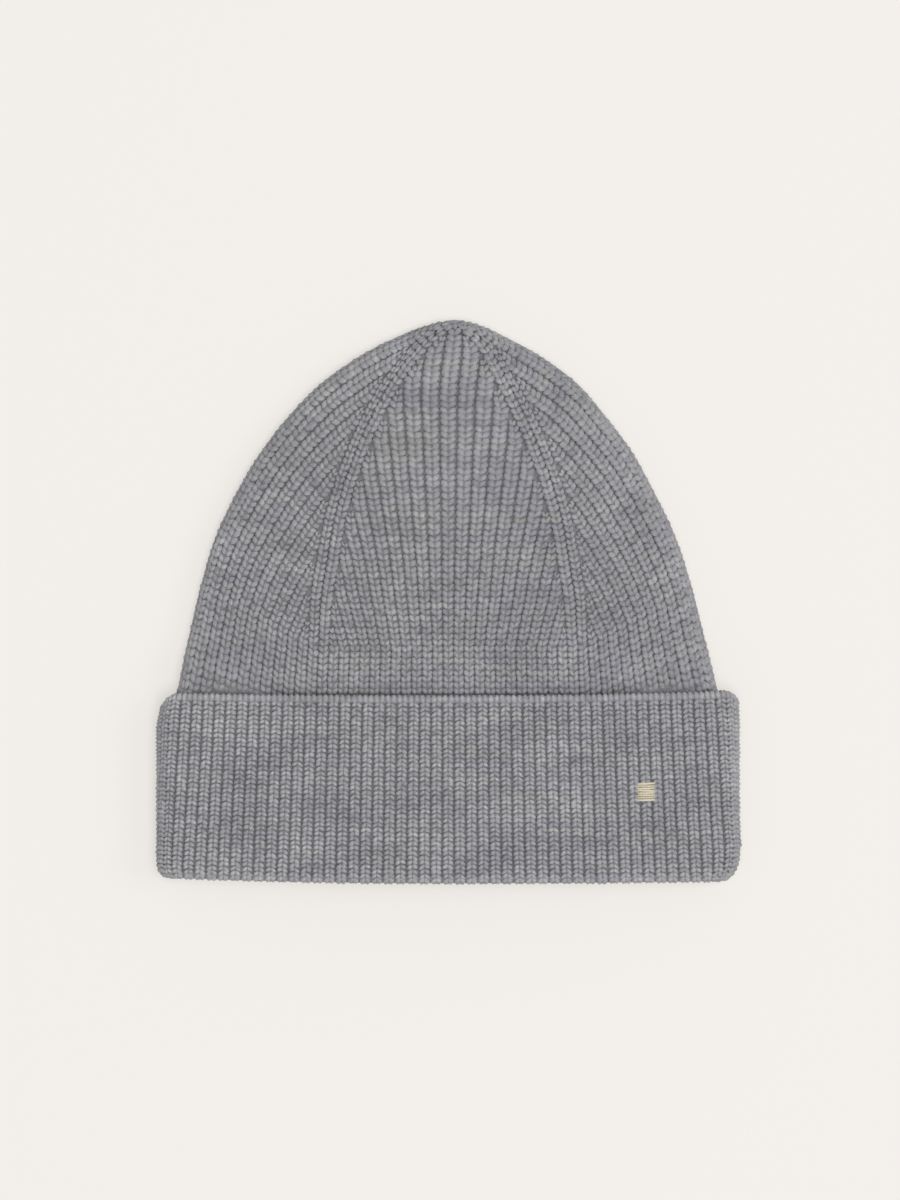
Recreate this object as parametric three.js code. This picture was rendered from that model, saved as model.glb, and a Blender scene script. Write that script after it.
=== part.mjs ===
// Rib-knitted wool beanie with a turned-up cuff, lying on its back with the front face up.
// Millimetres. +X is to the right across the front, +Y runs from the cuff to the tip, +Z is up.
// The origin is on the surface that it lies on, under the middle of its length and width.
//
// The hat is one knitted bag. Its crown is four gores of ribs, one on the front, one on the back
// and one round each side, and neighbouring gores meet at a fashioned line where ribs are taken
// in between two raised columns of stitches.
// Below the crown the knit runs down inside the cuff, turns out at the lower fold and comes back up.
// A short inner leg of the cuff stands under the crown's hem, so both nodes are one fabric thick.
import * as THREE from 'three';

// Driving sizes
const LENGTH = 216.6;
const CUFF_HALF_WIDTH = 112.4;
const CUFF_HEIGHT = 72.2;
const CUFF_BEND = 2.0;
const WALL = 3.2;
const LAYER_GAP = 0.4;
const HEM_GAP = 0.3;
const HEM_HEIGHT = 10.2;
const RIB_DEPTH = 0.9;
const LINE_RIDGE = 0.3;

// Knit counts: four gores of 25 ribs on the crown, and a few ribs more round the fuller cuff.
// CUFF_FAN is the share of ribs that the front gains at the cuff's top and loses at its fold
const GORES = 4;
const HALF_GORE_RIBS = 12.5;
const CUFF_RIBS = 106;
const CUFF_FAN = 0.02;
const FIRST_DECREASE = 8;
const TOP_COURSE = 62;
const TOP_HALF_RIBS = 1.0;
const SIDE_LEAD = 8;

// Where the crown comes out of the cuff, and the tip of the outline
const CUFF_LINE = 71.6;
const TIP = { across: 2.7, height: LENGTH };

// Left and right edge of the crown as it lies, by height above the lower fold
const CROWN_OUTLINE = [
  { height: 10.2, left: -107.9, right: 107.8 },
  { height: 71.6, left: -104.2, right: 103.6 },
  { height: 92.4, left: -100.6, right: 99.5 },
  { height: 115.4, left: -95.2, right: 93.7 },
  { height: 133.8, left: -89.5, right: 87.6 },
  { height: 152.3, left: -80.6, right: 78.7 },
  { height: 166.1, left: -72.2, right: 71.0 },
  { height: 179.9, left: -61.4, right: 60.7 },
  { height: 192.0, left: -49.5, right: 50.3 },
  { height: 202.9, left: -34.2, right: 35.7 },
  { height: 210.2, left: -20.0, right: 22.4 },
  { height: 214.6, left: -8.6, right: 12.8 },
];

// Half width of the front gore, from its middle rib to the fashioned line
const FRONT_GORE = [
  { height: 10.2, half: 52.5 },
  { height: 71.6, half: 50.5 },
  { height: 108.9, half: 48.8 },
  { height: 139.6, half: 43.8 },
  { height: 154.9, half: 39.6 },
  { height: 170.3, half: 33.8 },
  { height: 185.7, half: 26.5 },
  { height: 199.9, half: 18.4 },
  { height: 208.3, half: 12.3 },
  { height: 214.5, half: 4.6 },
  { height: 216.6, half: 0.0 },
];

// How the crown stands off the surface: the lift of its underside, half the thickness and the
// width of its rounded edge, and how much higher the middle is than the edge
const CROWN_SECTIONS = [
  { height: 10.2, lift: 3.6, edge: 5.0, round: 4.6, rise: 10.4 },
  { height: 82.0, lift: 3.6, edge: 5.0, round: 4.6, rise: 10.4 },
  { height: 98.0, lift: 0.0, edge: 5.0, round: 4.8, rise: 15.5 },
  { height: 128.0, lift: 0.0, edge: 5.0, round: 4.8, rise: 17.0 },
  { height: 160.0, lift: 0.0, edge: 5.0, round: 4.8, rise: 15.0 },
  { height: 190.0, lift: 0.0, edge: 4.8, round: 4.8, rise: 10.0 },
  { height: 216.6, lift: 0.0, edge: 4.4, round: 4.4, rise: 2.0 },
];

// The cuff's own section, level along its height, and how far its side edges draw in
const CUFF_SECTION = { edge: 8.6, round: 6.0, rise: 10.4 };
const CUFF_EDGES = [
  { height: 0.0, left: 4.2, right: 5.4 },
  { height: 1.2, left: 2.6, right: 3.6 },
  { height: 3.4, left: 0.9, right: 1.6 },
  { height: 8.0, left: 0.0, right: 0.3 },
  { height: 14.0, left: 0.0, right: 0.0 },
  { height: 62.0, left: 0.0, right: 0.0 },
  { height: 68.5, left: 1.4, right: 0.3 },
  { height: 70.6, left: 3.2, right: 1.2 },
  { height: 72.2, left: 5.4, right: 3.4 },
];

// Courses at which the crown's outer and inner faces have a ring of points
const HEM_COURSE = -26;
const OUTER_COURSES = [HEM_COURSE, -16, -8, -3, 0, 3, 6, 9, 14, 20, 27, 34, 41, 47, 52, 56, 59, 61];
const INNER_COURSES = [HEM_COURSE, -8, 0, 6, 14, 27, 41, 52, 57];

const MATERIALS = {
  crown: new THREE.MeshStandardMaterial({ color: 0x88878b, roughness: 0.95, metalness: 0 }),
  cuff: new THREE.MeshStandardMaterial({ color: 0x8b8a8e, roughness: 0.95, metalness: 0 }),
};

// Smooth value of one named column of a table at a height
function lookup(table, column, height) {
  const last = table.length - 1;
  if (height <= table[0].height) return table[0][column];
  if (height >= table[last].height) return table[last][column];
  const next = table.findIndex((row) => row.height > height);
  const [a, b] = [table[next - 1], table[next]];
  const share = (height - a.height) / (b.height - a.height);
  return a[column] + (b[column] - a[column]) * share;
}

// The same, eased at every row so that the lift and rise have no kinks
function easedLookup(table, column, height) {
  const last = table.length - 1;
  const clamped = Math.min(Math.max(height, table[0].height), table[last].height);
  const next = Math.max(1, table.findIndex((row) => row.height >= clamped));
  const [a, b] = [table[next - 1], table[next]];
  const share = (clamped - a.height) / (b.height - a.height);
  return a[column] + (b[column] - a[column]) * share * share * (3 - 2 * share);
}

// The crown's silhouette as one curve from the left hem over the tip to the right hem,
// cut at the tip into two lists of points with their distance from the cuff line
const SILHOUETTE_SAMPLES = 900;
const silhouette = new THREE.CatmullRomCurve3([
  ...CROWN_OUTLINE.map((row) => new THREE.Vector3(row.left, row.height, 0)),
  new THREE.Vector3(TIP.across, TIP.height, 0),
  ...[...CROWN_OUTLINE].reverse().map((row) => new THREE.Vector3(row.right, row.height, 0)),
]).getPoints(SILHOUETTE_SAMPLES);

function branchFrom(points) {
  const along = [0];
  for (let k = 1; k < points.length; k += 1) {
    along.push(along[k - 1] + points[k].distanceTo(points[k - 1]));
  }
  const start = along[points.findIndex((p) => p.y > CUFF_LINE)];
  return { points, along: along.map((value) => value - start) };
}

const tipIndex = silhouette.reduce((best, p, k) => (p.y > silhouette[best].y ? k : best), 0);
const BRANCHES = {
  left: branchFrom(silhouette.slice(0, tipIndex + 1)),
  right: branchFrom(silhouette.slice(tipIndex).reverse()),
};

function silhouettePoint(branch, distance) {
  const { points, along } = branch;
  const next = along.findIndex((value) => value >= distance);
  if (next < 0) return points[points.length - 1].clone();
  if (next === 0) return points[0].clone();
  const share = (distance - along[next - 1]) / (along[next] - along[next - 1]);
  return points[next - 1].clone().lerp(points[next], share);
}

function silhouetteHalf(height) {
  const left = BRANCHES.left.points.find((p) => p.y >= height) ?? silhouette[tipIndex];
  const right = BRANCHES.right.points.find((p) => p.y >= height) ?? silhouette[tipIndex];
  return { middle: (left.x + right.x) / 2, half: Math.max((right.x - left.x) / 2, 0.5) };
}

function distanceToSilhouette(across, height) {
  let least = Infinity;
  for (const p of silhouette) least = Math.min(least, Math.hypot(p.x - across, p.y - height));
  return least;
}

// Where a course of the crown lies: its height on the front, and its distance along the side edge,
// which it reaches SIDE_LEAD courses sooner
function frontHeight(course) {
  if (course < 0) return CUFF_LINE + (course / HEM_COURSE) * (HEM_HEIGHT - CUFF_LINE);
  return CUFF_LINE + (course / TOP_COURSE) * (LENGTH - CUFF_LINE);
}

function sidePoint(branch, course) {
  const total = branch.along[branch.along.length - 1];
  const pitch = total / (TOP_COURSE + SIDE_LEAD);
  if (course >= 0) return silhouettePoint(branch, (course + SIDE_LEAD) * pitch);
  const share = course / HEM_COURSE;
  return silhouettePoint(branch, (1 - share) * SIDE_LEAD * pitch + share * branch.along[0]);
}

function middleLine(height) {
  const share = THREE.MathUtils.smoothstep(height, 185, LENGTH);
  return TIP.across * share;
}

function halfRibs(course) {
  if (course <= FIRST_DECREASE) return HALF_GORE_RIBS;
  const share = (course - FIRST_DECREASE) / (TOP_COURSE - FIRST_DECREASE);
  return HALF_GORE_RIBS + (TOP_HALF_RIBS - HALF_GORE_RIBS) * share;
}

// Height off the surface of a point of either face. cover runs from 0 at the side edge to 1
// where the rounded edge ends, and inset is how far the point lies inside the outer face
function crownLift(across, height, cover, face, inset) {
  const { middle, half } = silhouetteHalf(height);
  const lift = easedLookup(CROWN_SECTIONS, 'lift', height);
  const edge = easedLookup(CROWN_SECTIONS, 'edge', height);
  const share = Math.min(1, Math.abs(across - middle) / half);
  const dome = easedLookup(CROWN_SECTIONS, 'rise', height) * (1 - share * share);
  const level = lift + edge + face * (edge - inset) * cover;
  return face > 0 ? level + dome * cover : level;
}

function coverAt(distance, round, inset) {
  const short = 1 - Math.min(1, Math.max(0, (distance - inset) / (round - inset)));
  return Math.sqrt(1 - short * short);
}

// A point of the crown on rib `rib` of a gore, counted from the gore's middle, at a course.
// Gores run round from the front (0) over the right side (1) and the back (2) to the left (3)
function crownPoint(gore, rib, course, insetAt) {
  const share = rib / halfRibs(course);
  const height = frontHeight(course);
  const half = lookup(FRONT_GORE, 'half', height);
  if (gore % 2 === 0) {
    const face = gore === 0 ? 1 : -1;
    const across = middleLine(height) + face * share * half;
    const round = easedLookup(CROWN_SECTIONS, 'round', height);
    const cover = coverAt(distanceToSilhouette(across, height), round, 0);
    const inset = insetAt(face, cover);
    const inner = coverAt(distanceToSilhouette(across, height), round, inset);
    return new THREE.Vector3(across, height, crownLift(across, height, inner, face, inset));
  }
  const right = gore === 1;
  const branch = right ? BRANCHES.right : BRANCHES.left;
  const face = (rib < 0) === right ? 1 : -1;
  const edgePoint = sidePoint(branch, course);
  const lineX = middleLine(height) + (right ? half : -half);
  const toLine = new THREE.Vector3(lineX, height, 0).sub(edgePoint);
  const run = toLine.length();
  toLine.normalize();
  const round = Math.min(easedLookup(CROWN_SECTIONS, 'round', edgePoint.y), run * 0.6);
  const edge = easedLookup(CROWN_SECTIONS, 'edge', edgePoint.y);
  const arc = (Math.PI / 4) * (round + edge);
  const position = Math.abs(share) * (run - round + arc);
  const angle = Math.min(1, position / arc) * (Math.PI / 2);
  const inset = insetAt(face, Math.sin(angle));
  const within = position < arc;
  const reach = within
    ? inset + (round - inset) * (1 - Math.cos(angle))
    : round + position - arc;
  const point = edgePoint.clone().addScaledVector(toLine, reach);
  const nearTip = coverAt(distanceToSilhouette(point.x, point.y), round, inset);
  const cover = within ? Math.sin(angle) : nearTip;
  point.z = crownLift(point.x, point.y, cover, face, inset);
  return point;
}

// A point of the cuff on rib `rib`, counted from the middle of the front, so that about a
// quarter of the ribs away is the side edge. bend follows the sag of its two long edges
function cuffPoint(rib, height, inset, bend) {
  const quarter = CUFF_RIBS / 4;
  const turned = THREE.MathUtils.euclideanModulo(rib + 2 * quarter, CUFF_RIBS) - 2 * quarter;
  const front = quarter * (1 + CUFF_FAN * ((2 * height) / CUFF_HEIGHT - 1));
  const face = Math.abs(turned) <= front ? 1 : -1;
  const back = (2 * quarter - Math.abs(turned)) / (2 * quarter - front);
  const shareRound = face > 0 ? Math.abs(turned) / front : back;
  const side = turned < 0 ? 'left' : 'right';
  const half = CUFF_HALF_WIDTH - lookup(CUFF_EDGES, side, height);
  const { edge, round, rise } = CUFF_SECTION;
  const flat = half - round;
  const arc = (Math.PI / 4) * (round + edge);
  const position = shareRound * (flat + arc);
  const angle = Math.max(0, (position - flat) / arc) * (Math.PI / 2);
  const turn = Math.max(round - inset, 0.8);
  const innerFlat = half - inset - turn;
  const across = Math.min(position / flat, 1) * innerFlat + turn * Math.sin(angle);
  const cover = Math.cos(angle);
  const share = Math.min(1, across / half);
  const dome = face > 0 ? rise * (1 - share * share) * cover : 0;
  const sag = bend * CUFF_BEND * (across / CUFF_HALF_WIDTH) ** 2;
  const level = edge + face * (edge - inset) * cover + dome;
  return new THREE.Vector3(Math.sign(turned) * across, height + sag, level);
}

// Ribs: crests at whole ribs, grooves half way between, pressed flat where the hat rests
function grooveInset(rib, face, cover) {
  const groove = Math.abs(rib * 2) % 2 === 1;
  if (!groove) return 0;
  return face > 0 ? RIB_DEPTH : RIB_DEPTH * (1 - cover);
}

// Ribs, in steps of half a rib, that a ring uses. A coarse ring keeps them only near an edge
function ribSteps(limit, coarse, nearEdge) {
  const steps = [];
  for (let twice = -2 * HALF_GORE_RIBS; twice <= 2 * HALF_GORE_RIBS; twice += 1) {
    const rib = twice / 2;
    const kept = !coarse || nearEdge(rib) || twice % 4 === 0;
    if (Math.abs(rib) <= limit && kept) steps.push(rib);
  }
  return steps;
}

// One ring of the crown as points with the key that they are joined by. Past the first
// decrease a raised column of stitches runs on each side of the fashioned line, which is a
// groove, and the ribs end against the groove behind that column
const GORE_KEYS = 30;
function crownRing(course, wall) {
  const limit = halfRibs(course);
  const columned = course > FIRST_DECREASE && !wall;
  const grooveAt = (face, cover) => wall || grooveInset(0.5, face, cover);
  const columnAt = (face, cover) => (face > 0 ? -LINE_RIDGE : -LINE_RIDGE * (1 - cover));
  const ring = [];
  for (let gore = 0; gore < GORES; gore += 1) {
    const start = gore * GORE_KEYS;
    const middleKey = start + GORE_KEYS / 2;
    const nearEdge = (rib) => gore % 2 === 1 && Math.abs(rib) <= 2.5;
    const steps = ribSteps(Math.max(0, limit - (columned ? 1.25 : 0.4)), Boolean(wall), nearEdge);
    const last = steps[steps.length - 1];
    ring.push({ key: start, point: crownPoint(gore, -limit, course, grooveAt) });
    if (columned) {
      ring.push({ key: middleKey - last - 0.2, point: crownPoint(gore, 0.5 - limit, course, columnAt) });
      ring.push({ key: middleKey - last - 0.1, point: crownPoint(gore, 1 - limit, course, grooveAt) });
    }
    for (const rib of steps) {
      const inset = (face, cover) => wall || grooveInset(rib, face, cover);
      ring.push({ key: middleKey + rib, point: crownPoint(gore, rib, course, inset) });
    }
    if (columned) {
      ring.push({ key: middleKey + last + 0.1, point: crownPoint(gore, limit - 1, course, grooveAt) });
      ring.push({ key: middleKey + last + 0.2, point: crownPoint(gore, limit - 0.5, course, columnAt) });
    }
  }
  return ring;
}

function cuffRing({ height, inset, ribs, bend }) {
  const quarter = CUFF_RIBS / 4;
  const nearEdge = (rib) => Math.abs(Math.abs(rib) - quarter) <= 3;
  const ring = [];
  for (let twice = 0; twice < 2 * CUFF_RIBS; twice += 1) {
    const rib = twice / 2 - quarter;
    const onSide = nearEdge(rib) || nearEdge(rib - 2 * quarter) || nearEdge(rib + 2 * quarter);
    if (!ribs && !onSide && twice % 4 !== 0) continue;
    const face = rib <= quarter ? 1 : -1;
    const cover = Math.min(1, Math.abs(Math.abs(rib) - quarter) / 3);
    const depth = ribs ? ribs * grooveInset(rib, face, cover) : 0;
    ring.push({ key: twice, point: cuffPoint(rib, height, inset + depth, bend) });
  }
  return ring;
}

// Collects points and triangles of one closed body
class Shell {
  constructor() {
    this.positions = [];
    this.triangles = [];
  }

  addPoint(p) {
    this.positions.push(p.x, p.y - LENGTH / 2, p.z);
    return this.positions.length / 3 - 1;
  }

  addRing(ring) {
    return ring.map(({ key, point }) => ({ key, index: this.addPoint(point) }));
  }

  addTriangle(a, b, c) {
    this.triangles.push(a, b, c);
  }

  // Joins two rings that run the same way round, always stepping on whichever is behind by key
  join(lower, upper) {
    let [i, j] = [0, 0];
    while (i < lower.length || j < upper.length) {
      const a = lower[i % lower.length].index;
      const b = upper[j % upper.length].index;
      const nextLower = i + 1 < lower.length ? lower[i + 1].key : Infinity;
      const nextUpper = j + 1 < upper.length ? upper[j + 1].key : Infinity;
      const stepLower = j >= upper.length || (i < lower.length && nextLower <= nextUpper);
      if (stepLower) {
        i += 1;
        this.addTriangle(a, lower[i % lower.length].index, b);
      } else {
        j += 1;
        this.addTriangle(a, upper[j % upper.length].index, b);
      }
    }
  }

  // Closes a ring to one point
  cap(ring, apex) {
    const tip = this.addPoint(apex);
    ring.forEach(({ index }, k) => this.addTriangle(index, ring[(k + 1) % ring.length].index, tip));
  }

  mesh(name, material) {
    const geometry = new THREE.BufferGeometry();
    geometry.setAttribute('position', new THREE.Float32BufferAttribute(this.positions, 3));
    geometry.setIndex(this.triangles);
    geometry.computeVertexNormals();
    const mesh = new THREE.Mesh(geometry, material);
    mesh.name = name;
    return mesh;
  }
}

// The crown: outer face from the hem up to the tip, inner face back down to the hem
function makeCrown() {
  const shell = new Shell();
  const outer = OUTER_COURSES.map((course) => shell.addRing(crownRing(course, 0)));
  const inner = INNER_COURSES.map((course) => shell.addRing(crownRing(course, WALL)));
  for (let k = 1; k < outer.length; k += 1) shell.join(outer[k - 1], outer[k]);
  for (let k = 1; k < inner.length; k += 1) shell.join(inner[k], inner[k - 1]);
  shell.join(inner[0], outer[0]);
  const tipEdge = easedLookup(CROWN_SECTIONS, 'edge', LENGTH);
  shell.cap(outer[outer.length - 1], new THREE.Vector3(TIP.across, TIP.height, tipEdge));
  const innerTop = crownRing(INNER_COURSES[INNER_COURSES.length - 1], WALL);
  const centre = innerTop.reduce((sum, { point }) => sum.add(point), new THREE.Vector3());
  centre.divideScalar(innerTop.length);
  shell.cap([...inner[inner.length - 1]].reverse(), centre);
  return shell.mesh('crown', MATERIALS.crown);
}

// The cuff: its section is a J, from the rolled top edge down the outside, round the lower fold,
// up the short inner leg to the crown's hem, and back through the slit between the two layers
function makeCuff() {
  const shell = new Shell();
  const legInset = WALL + LAYER_GAP;
  const foldRadius = WALL + LAYER_GAP / 2;
  const slitRadius = LAYER_GAP / 2;
  const legTop = HEM_HEIGHT - HEM_GAP;
  const rim = WALL / 2;
  const onFold = (degrees, ribs) => {
    const angle = THREE.MathUtils.degToRad(degrees);
    return {
      height: foldRadius * (1 - Math.sin(angle)),
      inset: foldRadius * (1 - Math.cos(angle)),
      ribs,
      bend: 1,
    };
  };
  const profile = [
    { height: CUFF_HEIGHT, inset: rim, ribs: 0, bend: 1 },
    { height: CUFF_HEIGHT - 0.5, inset: 0.5, ribs: 0, bend: 1 },
    { height: CUFF_HEIGHT - 3, inset: 0, ribs: 1, bend: 1 },
    { height: CUFF_HEIGHT - 8, inset: 0, ribs: 1, bend: 1 },
    { height: CUFF_HEIGHT / 2, inset: 0, ribs: 1, bend: 1 },
    { height: 14, inset: 0, ribs: 1, bend: 1 },
    { height: 7, inset: 0, ribs: 1, bend: 1 },
    onFold(0, 1),
    onFold(45, 1),
    onFold(90, 1),
    onFold(135, 0),
    { height: foldRadius, inset: 2 * foldRadius, ribs: 0, bend: 1 },
    { height: legTop, inset: 2 * foldRadius, ribs: 0, bend: 0 },
    { height: legTop, inset: legInset, ribs: 0, bend: 0 },
    { height: foldRadius, inset: legInset, ribs: 0, bend: 1 },
    { height: foldRadius - slitRadius, inset: foldRadius, ribs: 0, bend: 1 },
    { height: foldRadius, inset: WALL, ribs: 0, bend: 1 },
    { height: 8, inset: WALL, ribs: 0, bend: 1 },
    { height: 14, inset: WALL, ribs: 0, bend: 1 },
    { height: CUFF_HEIGHT / 2, inset: WALL, ribs: 0, bend: 1 },
    { height: CUFF_HEIGHT - 8, inset: WALL, ribs: 0, bend: 1 },
    { height: CUFF_HEIGHT - 1.6, inset: WALL, ribs: 0, bend: 1 },
  ];
  const rings = profile.map((row) => shell.addRing(cuffRing(row)));
  rings.forEach((ring, k) => shell.join(rings[(k + 1) % rings.length], ring));
  return shell.mesh('cuff', MATERIALS.cuff);
}

const beanie = new THREE.Group();
beanie.add(makeCrown(), makeCuff());

export default beanie;
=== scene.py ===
# Grey marl rib-knitted beanie with a turned-up cuff, lying on its back as it is looked down on.
# Sizes are in millimetres until a mesh is made, +Y runs from the cuff to the tip and +Z is up.
import math

import bpy
import numpy as np
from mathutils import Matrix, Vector


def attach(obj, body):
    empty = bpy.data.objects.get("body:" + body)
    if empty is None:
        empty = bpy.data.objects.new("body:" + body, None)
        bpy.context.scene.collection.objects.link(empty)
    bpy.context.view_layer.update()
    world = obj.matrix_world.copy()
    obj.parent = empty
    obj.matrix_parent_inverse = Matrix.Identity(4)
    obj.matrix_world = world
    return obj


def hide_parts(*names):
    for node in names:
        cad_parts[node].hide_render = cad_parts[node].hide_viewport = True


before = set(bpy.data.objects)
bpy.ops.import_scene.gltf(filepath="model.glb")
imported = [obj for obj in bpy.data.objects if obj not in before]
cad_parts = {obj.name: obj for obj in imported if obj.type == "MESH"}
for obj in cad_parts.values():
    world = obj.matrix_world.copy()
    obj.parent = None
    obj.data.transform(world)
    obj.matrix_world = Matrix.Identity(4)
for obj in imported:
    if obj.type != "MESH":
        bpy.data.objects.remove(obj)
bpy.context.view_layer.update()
MM = 0.001
SEED = 7
CUFF_SEED = SEED + 40
TURN = 2 * math.pi

# Driving sizes, the same as the solid's
LENGTH = 216.6
CUFF_HALF_WIDTH = 112.4
CUFF_HEIGHT = 72.2
WALL = 3.2
LAYER_GAP = 0.4
HEM_GAP = 0.3
HEM_HEIGHT = 10.2

# Knit counts: four gores of 25 ribs on the crown, and a few ribs more round the fuller cuff
GORE_RIBS = 25
HALF_GORE_RIBS = GORE_RIBS / 2
CUFF_RIBS = 106
# Share by which the front holds fewer ribs at the lower fold and more at the rolled edge
CUFF_FAN = 0.02
# Courses are counted from the cuff's rolled edge, at the height CUFF_LINE, up to the tip
CUFF_LINE = 71.6
HEM_COURSE = -26
FIRST_DECREASE = 8
TOP_COURSE = 62
TOP_HALF_RIBS = 1.0
# A course meets the side edges this many courses further up than it crosses the front
SIDE_LEAD = 8
TIP = (2.7, LENGTH)
# Height from which the middle rib leans over to the tip
LEAN_HEIGHT = 185

# Left and right edge of the crown as it lies, by height above the lower fold
CROWN_OUTLINE = [
    dict(height=10.2, left=-107.9, right=107.8),
    dict(height=71.6, left=-105.2, right=104.8),
    dict(height=77.0, left=-103.8, right=103.3),
    dict(height=92.4, left=-100.6, right=99.5),
    dict(height=115.4, left=-95.2, right=93.7),
    dict(height=133.8, left=-89.5, right=87.6),
    dict(height=152.3, left=-80.6, right=78.7),
    dict(height=166.1, left=-72.2, right=71.0),
    dict(height=179.9, left=-61.4, right=60.7),
    dict(height=192.0, left=-49.5, right=50.3),
    dict(height=202.9, left=-34.2, right=35.7),
    dict(height=210.2, left=-20.0, right=22.4),
    dict(height=214.6, left=-8.6, right=12.8),
]

# Half width of the front gore, from its middle rib to the fashioned line
FRONT_GORE = [
    dict(height=10.2, half=52.5),
    dict(height=71.6, half=50.5),
    dict(height=108.9, half=48.8),
    dict(height=139.6, half=43.8),
    dict(height=154.9, half=39.6),
    dict(height=170.3, half=33.8),
    dict(height=185.7, half=26.5),
    dict(height=199.9, half=18.4),
    dict(height=208.3, half=12.3),
    dict(height=214.5, half=4.6),
    dict(height=216.6, half=0.0),
]

# Lift of the crown's underside, half the thickness and width of its rounded edge, and its dome
CROWN_SECTIONS = [
    dict(height=10.2, lift=3.6, edge=5.0, round=4.6, rise=10.4),
    dict(height=82.0, lift=3.6, edge=5.0, round=4.6, rise=10.4),
    dict(height=98.0, lift=0.0, edge=5.0, round=4.8, rise=15.5),
    dict(height=128.0, lift=0.0, edge=5.0, round=4.8, rise=17.0),
    dict(height=160.0, lift=0.0, edge=5.0, round=4.8, rise=15.0),
    dict(height=190.0, lift=0.0, edge=4.8, round=4.8, rise=10.0),
    dict(height=216.6, lift=0.0, edge=4.4, round=4.4, rise=2.0),
]

# Half the thickness and the width of the cuff's rounded side folds, and the dome of its front
CUFF_SECTION = dict(edge=8.6, round=6.0, rise=10.4)
# How far from its side folds the cuff's ribs draw together where it is narrower, and how much
# narrower than its full half width it is at each side, by height above the lower fold
CORNER_REACH = 12.0
CUFF_EDGES = [
    dict(height=0.0, left=4.6, right=6.4),
    dict(height=0.3, left=3.4, right=5.6),
    dict(height=0.9, left=2.3, right=4.6),
    dict(height=2.3, left=1.0, right=3.0),
    dict(height=4.5, left=0.3, right=1.4),
    dict(height=8.0, left=0.0, right=0.1),
    dict(height=14.0, left=0.0, right=-0.5),
    dict(height=26.0, left=0.0, right=0.0),
    dict(height=62.0, left=0.0, right=0.0),
    dict(height=68.5, left=0.9, right=0.2),
    dict(height=70.6, left=1.6, right=0.5),
    dict(height=72.2, left=2.4, right=1.0),
]
# How far the rolled edge sinks at each side fold, over the last part of the cuff's height
CORNER_DROP = dict(left=5.2, right=3.4, run=30.0, run_power=1.3, left_power=2.0, right_power=3.5)
# How much nearer the tip the ends of the lower fold and of the rolled edge lie than their middle
CUFF_SAG = dict(left=(1.9, 1.0), right=(0.5, 1.8))


# Tables
def column(table, key):
    return np.array([row[key] for row in table], float)


def lookup(table, key, height):
    return np.interp(height, column(table, "height"), column(table, key))


def eased_lookup(table, key, height):
    """Like lookup, but level at each row of the table."""
    heights, values = column(table, "height"), column(table, key)
    held = np.clip(height, heights[0], heights[-1])
    after = np.clip(np.searchsorted(heights, held), 1, len(heights) - 1)
    share = (held - heights[after - 1]) / (heights[after] - heights[after - 1])
    return values[after - 1] + (values[after] - values[after - 1]) * share * share * (3 - 2 * share)


def smoothed(table, key, reach=6.0):
    """Heights and the table's values there, with its corners rounded off over a reach."""
    step, margin = 0.5, 20.0
    fine = np.arange(-margin, LENGTH + margin, step)
    values = lookup(table, key, fine)
    window = np.hanning(int(2 * reach / step) + 1)
    padded = np.pad(values, len(window) // 2, mode="edge")
    return fine, np.convolve(padded, window / window.sum(), mode="valid")


FRONT_GORE_CURVE = smoothed(FRONT_GORE, "half")
MOST_ROUNDED_OFF = 0.6


def front_half(height):
    """Half width of the front gore, rounded off but never much wider than its table."""
    widest = lookup(FRONT_GORE, "half", height) + MOST_ROUNDED_OFF
    return np.minimum(np.interp(height, *FRONT_GORE_CURVE), widest)


# The crown's silhouette
def catmull_rom(points, samples):
    """Centripetal Catmull-Rom curve through the points."""
    ends = [2 * points[0] - points[1], *points, 2 * points[-1] - points[-2]]
    curve = []
    for step in np.linspace(0, len(points) - 1, samples):
        span = min(int(step), len(points) - 2)
        t = step - span
        a, b, c, d = ends[span:span + 4]
        gaps = [np.sqrt(np.linalg.norm(q - p)) for p, q in ((a, b), (b, c), (c, d))]
        out_b = ((b - a) / gaps[0] - (c - a) / (gaps[0] + gaps[1]) + (c - b) / gaps[1]) * gaps[1]
        out_c = ((c - b) / gaps[1] - (d - b) / (gaps[1] + gaps[2]) + (d - c) / gaps[2]) * gaps[1]
        square, cube = t * t, t * t * t
        curve.append(b + out_b * t + (3 * (c - b) - 2 * out_b - out_c) * square
                     + (2 * (b - c) + out_b + out_c) * cube)
    return np.array(curve)


OUTLINE = catmull_rom(
    [np.array([row["left"], row["height"]]) for row in CROWN_OUTLINE]
    + [np.array(TIP)]
    + [np.array([row["right"], row["height"]]) for row in reversed(CROWN_OUTLINE)],
    samples=901,
)


def branch_from(points):
    """One side of the silhouette, with the distance along it from the cuff's rolled edge."""
    along = np.concatenate([[0], np.cumsum(np.linalg.norm(np.diff(points, axis=0), axis=1))])
    return points, along - along[np.argmax(points[:, 1] > CUFF_LINE)]


TOP = int(np.argmax(OUTLINE[:, 1]))
LEFT_EDGE = branch_from(OUTLINE[:TOP + 1])
RIGHT_EDGE = branch_from(OUTLINE[TOP:][::-1])


def edge_point(edge, distance):
    points, along = edge
    return np.stack([np.interp(distance, along, points[:, axis]) for axis in (0, 1)], -1)


def outline_half(height):
    """Middle and half width of the crown at a height."""
    left = np.interp(height, LEFT_EDGE[0][:, 1], LEFT_EDGE[0][:, 0])
    right = np.interp(height, RIGHT_EDGE[0][:, 1], RIGHT_EDGE[0][:, 0])
    return (left + right) / 2, np.maximum((right - left) / 2, 0.5)


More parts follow.
